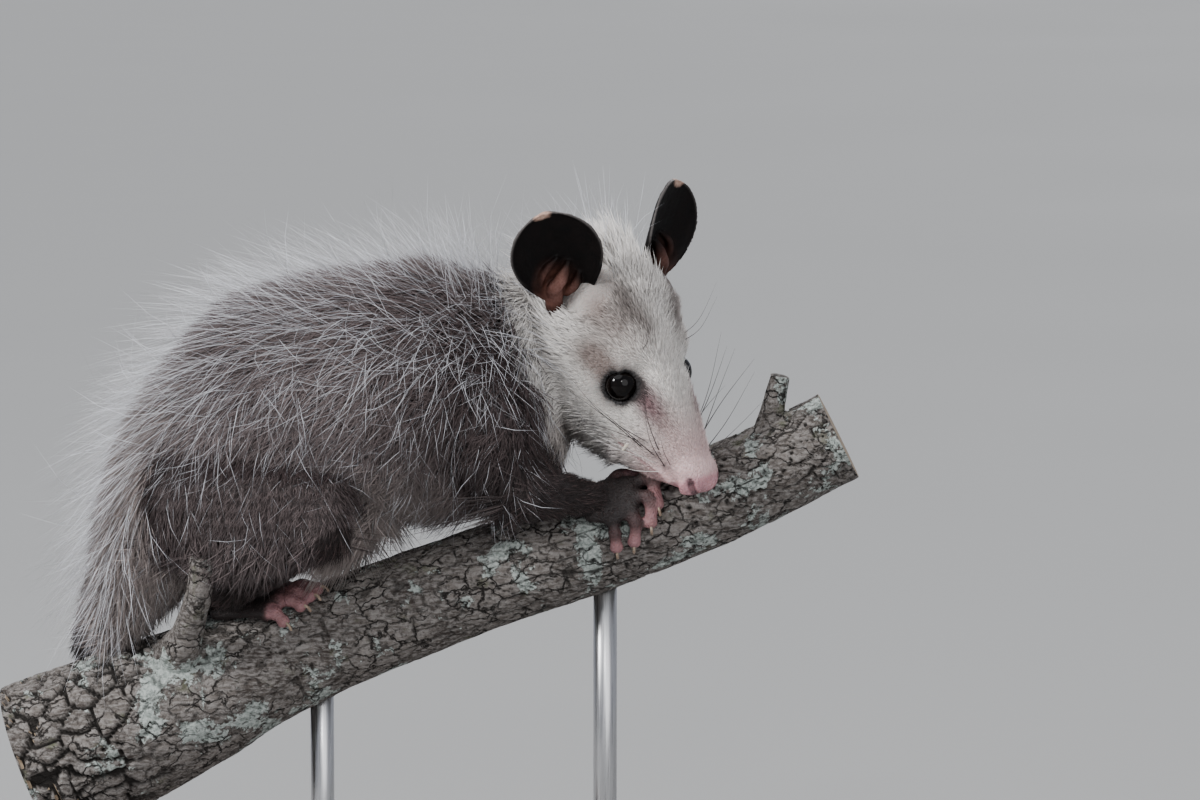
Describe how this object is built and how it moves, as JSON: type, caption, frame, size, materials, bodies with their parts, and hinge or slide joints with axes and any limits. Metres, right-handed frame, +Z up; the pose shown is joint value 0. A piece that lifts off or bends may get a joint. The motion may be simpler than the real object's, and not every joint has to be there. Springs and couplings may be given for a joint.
{
  "type": "opossum",
  "caption": "Life-size model of a young Virginia opossum stepping up a lichened branch with its head turned and its tail hanging, on a plain stand with two rods.",
  "frame": {"origin": "on the floor under the middle of the stand's base", "axes": "+Z up, +X along the branch the way it climbs and the animal walks, +Y towards the animal's left side"},
  "size_m": [0.2327, 0.104, 0.2327],
  "materials": {
    "coat": "matte",
    "face_fur": "matte",
    "limb_fur": "matte",
    "ear_skin": "matte",
    "paw_skin": "matte",
    "tail_skin": "matte",
    "eye": "gloss",
    "tooth": "satin",
    "bark": "matte",
    "stand_wood": "satin",
    "stand_steel": "satin"
  },
  "bodies": {
    "root": {"torso": "coat", "neck": "coat", "upper_arm_right": "coat", "upper_arm_left": "coat", "thigh_right": "coat", "thigh_left": "coat", "tail_root": "coat", "head": "face_fur", "forearm_right": "limb_fur", "forearm_left": "limb_fur", "shank_right": "limb_fur", "shank_left": "limb_fur", "ear_right": "ear_skin", "ear_left": "ear_skin", "hand_right": "paw_skin", "hand_left": "paw_skin", "foot_right": "paw_skin", "foot_left": "paw_skin", "tail_upper": "tail_skin", "tail_middle": "tail_skin", "tail_lower": "tail_skin", "tail_tip": "tail_skin", "eye_right": "eye", "eye_left": "eye", "canine_right": "tooth", "perch_branch": "bark", "stand_base": "stand_wood", "stand_rod_rear": "stand_steel", "stand_rod_front": "stand_steel"}
  },
  "joints": []
}
